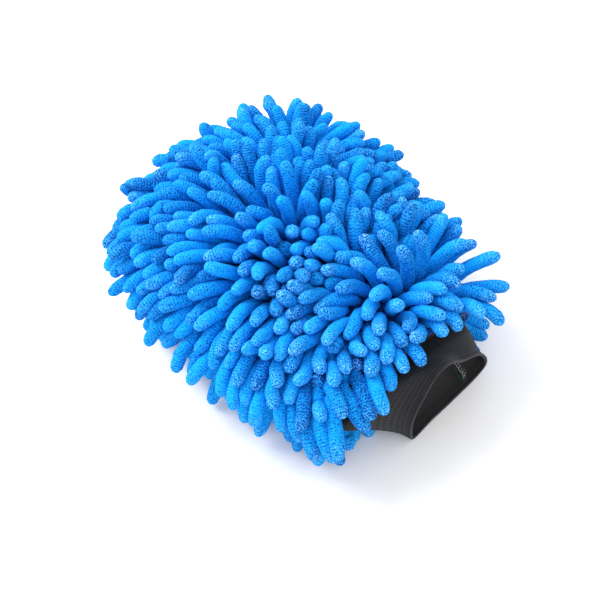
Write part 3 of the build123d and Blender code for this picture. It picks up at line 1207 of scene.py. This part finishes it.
@dataclass
class KnitCuff:
    """The black elastic band: ribbed outside at the lip, finely ribbed inside, one closed sheet."""

    finish: bpy.types.Material
    axis: CuffAxis
    slack: LipSlack = LipSlack()
    around: int = 280
    steps: int = 84
    deepest: float = -15.8
    furthest: float = 23.7
    band_width: float = 11.5
    row_pitch: float = 1.9
    fine_pitch: float = 1.3
    row_relief: float = 0.07

    def sections(self) -> tuple[np.ndarray, np.ndarray, np.ndarray]:
        """Feels the CAD band's inner and outer faces at even steps around and along it.

        Returns:
            The inner points, the outer points and the reach of each step in millimetres.
        """
        probe = Probe("elastic_cuff")
        reaches = np.linspace(self.deepest, self.furthest, self.steps)
        turns = np.linspace(0, 2 * math.pi, 721)[:-1] - math.pi / 2
        inner = np.zeros((self.around + 1, self.steps, 3))
        outer = np.zeros_like(inner)
        for step, reach in enumerate(reaches):
            middle, across = self.axis.at(reach)
            hits = []
            for turn in turns:
                way = unit(across * math.cos(turn) + np.array([0, 0, 1]) * math.sin(turn))
                walls = probe.walls(middle, way)
                if walls is not None:
                    hits.append((middle + way * walls[0], middle + way * walls[1]))
            inner[:, step] = self.even([hit[0] for hit in hits])
            outer[:, step] = self.even([hit[1] for hit in hits])
        return inner, outer, reaches

    def even(self, ring: list[np.ndarray]) -> np.ndarray:
        """Spaces a ring's points evenly along its length; the last point meets the first."""
        points = np.array(ring + ring[:1])
        for _ in range(3):
            points[:-1] = (np.roll(points[:-1], 1, 0) + 2 * points[:-1] + np.roll(points[:-1], -1, 0)) / 4
            points[-1] = points[0]
        arc = np.concatenate([[0], np.cumsum(np.linalg.norm(np.diff(points, axis=0), axis=1))])
        wanted = np.linspace(0, arc[-1], self.around + 1)
        return np.stack([np.interp(wanted, arc, points[:, axis]) for axis in range(3)], axis=1)

    def build(self) -> tuple[bpy.types.Object, np.ndarray]:
        """Lays one closed sheet over the outside, round the lip and back along the inside.

        Returns:
            The cuff and the middle line of its lip.
        """
        inner, outer, reaches = self.sections()
        from_lip = self.furthest - reaches
        ribs_out = np.where(
            from_lip < self.band_width,
            self.row_relief * np.cos(2 * math.pi * from_lip / self.row_pitch),
            0.04 * np.cos(2 * math.pi * from_lip / self.fine_pitch),
        )
        ribs_in = 0.10 * np.cos(2 * math.pi * from_lip / self.fine_pitch)
        thick = unit(outer - inner)
        outer = outer + thick * (ribs_out[None, :, None] - 0.1) * MM
        inner = inner - thick * (ribs_in[None, :, None] - 0.1) * MM
        outer, inner = self.slack.settle(outer), self.slack.settle(inner)
        spots = np.concatenate([outer, inner[:, ::-1], outer[:, :1]], axis=1)
        flat = np.linspace(0, 0.19, self.around + 1)[:, None]
        rows = np.concatenate([reaches, reaches[::-1] + 1.3, reaches[:1]]) * MM
        coords = np.stack(np.broadcast_arrays(flat, rows[None, :]), axis=2)
        cuff = cloth_grid("elastic_cuff_knit", spots, "Cloth", coords)
        self.face_out(cuff)
        self.mark_band(cuff, outer)
        cuff.data.materials.append(self.finish)
        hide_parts("elastic_cuff")
        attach(cuff, BODY)
        return cuff, (inner[:-1, -1] + outer[:-1, -1]) / 2

    @staticmethod
    def face_out(piece: bpy.types.Object) -> None:
        """Turns all faces of a closed piece outwards."""
        deselect_all()
        piece.select_set(True)
        bpy.context.view_layer.objects.active = piece
        bpy.ops.object.mode_set(mode="EDIT")
        bpy.ops.mesh.select_all(action="SELECT")
        bpy.ops.mesh.normals_make_consistent(inside=False)
        bpy.ops.object.mode_set(mode="OBJECT")

    def mark_band(self, cuff: bpy.types.Object, outer: np.ndarray) -> None:
        """Marks the ribbed band along the lip, on the cuff's outside, for the material."""
        points = mesh_points(cuff)
        tree = BVHTree.FromPolygons(
            [Vector(p) for p in outer.reshape(-1, 3)],
            [
                (a * self.steps + b, (a + 1) * self.steps + b, (a + 1) * self.steps + b + 1, a * self.steps + b + 1)
                for a in range(self.around)
                for b in range(self.steps - 1)
            ],
        )
        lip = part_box("top_backing")[0].y - self.furthest * MM + self.slack.draw[1]
        marks = np.zeros(len(points))
        for index, point in enumerate(points):
            if point[1] < lip + (self.band_width + 2) * MM:
                near = tree.find_nearest(Vector(point))[3]
                depth = (point[1] - lip) / MM
                marks[index] = float(near < 0.4 * MM) * float(np.clip((self.band_width - depth) / 0.6, 0, 1))
        add_attribute(cuff, "band", marks)


@dataclass
class CuffTrim:
    """The rolled edge on the lip, and the join's flap with its overlocked threads."""

    edge_finish: bpy.types.Material
    flap_finish: bpy.types.Material
    clear_finish: bpy.types.Material
    green_finish: bpy.types.Material
    slack: LipSlack = LipSlack()
    edge_radius: float = 0.85 * MM
    thread_radius: float = 0.16 * MM

    def build(self, lip: np.ndarray) -> list[bpy.types.Object]:
        """Builds the trim.

        Args:
            lip: the middle line of the cuff's lip.

        Returns:
            The rolled edge, the flap, its clear threads and the green thread end.
        """
        low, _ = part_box("cuff_edge")
        ring = lip.copy()
        ring[:, 1] -= 0.9 * MM
        ring[:, 2] = np.maximum(ring[:, 2], self.edge_radius * 1.05)
        edge = tube("cuff_edge_roll", ring, self.edge_radius, 10, closed=True)
        self.place(edge, "cuff_edge", self.edge_finish, "elastic_knit")
        flap, path = self.flap()
        loops = self.overlock(path)
        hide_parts("cuff_join_seam")
        end = self.thread_end()
        return [edge, flap, loops, end]

    def place(self, piece: bpy.types.Object, node: str, finish: bpy.types.Material, slot: str) -> None:
        """Gives a piece its finish and its place in the frame."""
        KnitCuff.face_out(piece)
        piece.data.materials.append(finish)
        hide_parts(node)
        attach(piece, BODY)

    def flap(self) -> tuple[bpy.types.Object, np.ndarray]:
        """The band's two sewn ends, standing up inside the cuff from its floor."""
        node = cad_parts["cuff_join_seam"]
        points = mesh_points(node)
        stations = np.unique(np.round(points[:, 1] / MM).astype(int))
        feet, heads = [], []
        for along in stations:
            near = points[np.abs(points[:, 1] / MM - along) < 1.3]
            feet.append((near[:, 0].mean(), near[:, 1].mean(), near[:, 2].min()))
            heads.append((near[:, 0].mean(), near[:, 1].mean(), near[:, 2].max()))
        feet, heads = np.array(feet), np.array(heads)
        order = np.argsort(feet[:, 1])
        feet, heads = feet[order], heads[order]
        fine = np.linspace(0, 1, 40)
        share = np.linspace(0, 1, len(feet))
        feet = np.stack([np.interp(fine, share, feet[:, axis]) for axis in range(3)], axis=1)
        heads = np.stack([np.interp(fine, share, heads[:, axis]) for axis in range(3)], axis=1)
        feet, heads = self.slack.settle(feet), self.slack.settle(heads)
        half = 0.65 * MM
        spots = np.zeros((17, 40, 3))
        for column in range(17):
            turn = 2 * math.pi * (column % 16) / 16
            rise = (1 - math.cos(turn)) / 2
            lean = np.sin(fine * 9 + 0.5) * 0.5 * MM * rise
            spots[column] = feet + (heads - feet) * rise
            spots[column, :, 0] += math.sin(turn) * half + lean
        for row in (0, 39):
            middle = spots[:, row].mean(axis=0)
            spots[:, row] = middle + (spots[:, row] - middle) * 0.05
        flat = np.stack(
            np.broadcast_arrays(np.linspace(0, 0.018, 17)[:, None], np.linspace(0, 0.024, 40)[None, :]), axis=2
        )
        flap = cloth_grid("cuff_join_flap", spots, "Cloth", flat)
        self.place(flap, "cuff_join_seam", self.flap_finish, "elastic_knit")
        return flap, heads

    def overlock(self, heads: np.ndarray) -> bpy.types.Object:
        """Clear thread looped over the flap's free edge, one loop about every 2 mm."""
        loops = int(np.linalg.norm(heads[-1] - heads[0]) / (2.0 * MM))
        fine = np.linspace(0.03, 0.97, loops * 14)
        share = np.linspace(0, 1, len(heads))
        path = np.stack([np.interp(fine, share, heads[:, axis]) for axis in range(3)], axis=1)
        turn = fine * loops * 2 * math.pi
        path[:, 0] += 1.3 * MM * np.sin(turn)
        path[:, 2] += 0.9 * MM * np.cos(turn) - 1.2 * MM
        threads = tube("cuff_join_threads", path, self.thread_radius, 5, closed=False)
        KnitCuff.face_out(threads)
        threads.data.materials.append(self.clear_finish)
        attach(threads, BODY)
        return threads

    def thread_end(self) -> bpy.types.Object:
        """The short green tail of the sewing thread."""
        low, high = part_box("join_thread_end")
        middle = np.array((low + high) / 2)
        fine = np.linspace(-1, 1, 14)[:, None]
        reach = (high.y - low.y) / 2
        path = middle + fine * (0, reach, 0) + np.sin(fine * 2.4) * (0.5 * MM, 0, 0.4 * MM)
        path = self.slack.settle(path)
        tail = tube("join_thread_tail", path, 0.3 * MM, 6, closed=False)
        self.place(tail, "join_thread_end", self.green_finish, "green_thread")
        return tail


@dataclass
class Stitching:
    """Sewn seams inside the mitt: flat bands of thread, which keep their CAD places."""

    finish: bpy.types.Material
    nodes: tuple[str, ...] = ("wrist_seam", "perimeter_seam", "top_row_stitching", "bottom_row_stitching")

    def build(self) -> list[bpy.types.Object]:
        """Copies each seam's band, merges it and smooths its shading across edges under 40 degrees.

        Returns:
            One piece for each seam.
        """
        made = []
        for name in self.nodes:
            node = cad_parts[name]
            piece = node.copy()
            piece.data = node.data.copy()
            bpy.context.scene.collection.objects.link(piece)
            piece.name = f"{name}_thread"
            piece.data.name = piece.name
            piece.data.materials.clear()
            deselect_all()
            piece.select_set(True)
            bpy.context.view_layer.objects.active = piece
            bpy.ops.object.mode_set(mode="EDIT")
            bpy.ops.mesh.select_all(action="SELECT")
            bpy.ops.mesh.remove_doubles(threshold=1e-6)
            bpy.ops.object.mode_set(mode="OBJECT")
            bpy.ops.object.shade_smooth_by_angle(angle=math.radians(40))
            piece.data.materials.append(self.finish)
            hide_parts(name)
            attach(piece, BODY)
            made.append(piece)
        return made


# ---- stage ----


@dataclass
class Studio:
    """White sweep, soft lights and the camera."""

    azimuth: float = -42.5
    elevation: float = 51.2
    distance: float = 0.549
    field_of_view: float = 37.0
    aim_x: float = 3.2 * MM
    aim_y: float = 2.5 * MM

    def build(self) -> None:
        """Makes the floor, the lights, the world and the camera."""
        self.make_camera()
        self.make_floor()
        self.make_lights()

    def make_camera(self) -> None:
        """Places the camera on a sphere round the point on the table that it looks at."""
        data = bpy.data.cameras.new("camera")
        data.angle = math.radians(self.field_of_view)
        camera = bpy.data.objects.new("camera", data)
        bpy.context.scene.collection.objects.link(camera)
        turn, rise = math.radians(self.azimuth), math.radians(self.elevation)
        back = Vector((math.sin(turn) * math.cos(rise), -math.cos(turn) * math.cos(rise), math.sin(rise)))
        camera.location = Vector((self.aim_x, self.aim_y, 0)) + back * self.distance
        camera.rotation_mode = "QUATERNION"
        camera.rotation_quaternion = (-back).to_track_quat("-Z", "Y")
        data.clip_start, data.clip_end = 0.01, 20
        bpy.context.scene.camera = camera

    def make_floor(self) -> None:
        """Lays a wide white sweep under the mitt."""
        deselect_all()
        bpy.ops.mesh.primitive_plane_add(size=6, location=(0, 0, 0))
        floor = bpy.context.object
        floor.name = "sweep"
        floor.data.materials.append(SweepFinish().material())

    def make_lights(self) -> None:
        """Hangs two large soft boxes and fills the room with white light."""
        for name, place, size, power in (
            ("key", (-0.35, 0.85, 0.95), 0.8, 17.0),
            ("fill", (-0.8, -0.9, 1.1), 1.2, 3.0),
        ):
            data = bpy.data.lights.new(name, "AREA")
            data.shape = "SQUARE"
            data.size = size
            data.energy = power
            lamp = bpy.data.objects.new(name, data)
            bpy.context.scene.collection.objects.link(lamp)
            lamp.location = place
            lamp.rotation_mode = "QUATERNION"
            lamp.rotation_quaternion = (-Vector(place)).to_track_quat("-Z", "Y")
        world = bpy.data.worlds.new("studio")
        world.use_nodes = True
        world.node_tree.nodes["Background"].inputs["Color"].default_value = linear("ffffff")
        world.node_tree.nodes["Background"].inputs["Strength"].default_value = 1.05
        bpy.context.scene.world = world
        bpy.context.scene.view_settings.view_transform = "Standard"


def build_cloth() -> list[bpy.types.Object]:
    """Builds the backing, the lining, the cuff with its trim, and the seams.

    Returns:
        The pieces.
    """
    backing = KnitFinish("blue_backing_knit", "053a86", "0a5fc4").material()
    lining = KnitFinish("dark_mesh_lining", "101216", "24272e", wale_mm=1.8, course_mm=1.8).material()
    panels = [
        ClothPanel("top_backing", Panel.TOP, backing, "backing_knit", (0.165, 0.21), 0.0300),
        ClothPanel("bottom_backing", Panel.BOTTOM, backing, "backing_knit", (0.155, 0.21), 0.0280),
        ClothPanel("top_lining", Panel.TOP, lining, "lining_mesh", (0.155, 0.205), 0.0270),
        ClothPanel("bottom_lining", Panel.BOTTOM, lining, "lining_mesh", (0.145, 0.205), 0.0255),
    ]
    pieces = [panel.build() for panel in panels]
    axis = CuffAxis()
    elastic = ElasticFinish()
    cuff, lip = KnitCuff(elastic.material(), axis).build()
    trim = CuffTrim(
        KnitFinish("rolled_elastic_edge", "1d1e22", "3c3d44", map_name="Along", wale_mm=1.3, course_mm=0.9).material(),
        KnitFinish("black_elastic_back", "08080a", "1a1b1f", wale_mm=1.2, course_mm=1.2).material(),
        ThreadFinish("clear_nylon_monofilament", "e8ecee", roughness=0.12, clear=0.6).material(),
        ThreadFinish("green_spun_polyester", "3f8f3c").material(),
    )
    pieces += [cuff, *trim.build(lip)]
    pieces += Stitching(ThreadFinish("blue_spun_polyester", "1467c8").material()).build()
    return pieces


def main() -> None:
    """Builds the mitt's pieces in order and reports each one."""
    logging.basicConfig(level=logging.INFO, format="%(name)s: %(message)s")
    Studio().build()
    body = MittBody()
    field = NoodleField.from_frame(body)
    LOG.info("%d noodles, radius %.2f mm", len(field.roots), field.radius / MM)
    coat = NoodleCoat(NoodlePile(field, body), NoodleForm(), ChenilleFinish().material())
    for piece in coat.build() + build_cloth():
        LOG.info("%s: %d faces", piece.name, len(piece.data.polygons))


if __name__ == "__main__":
    main()
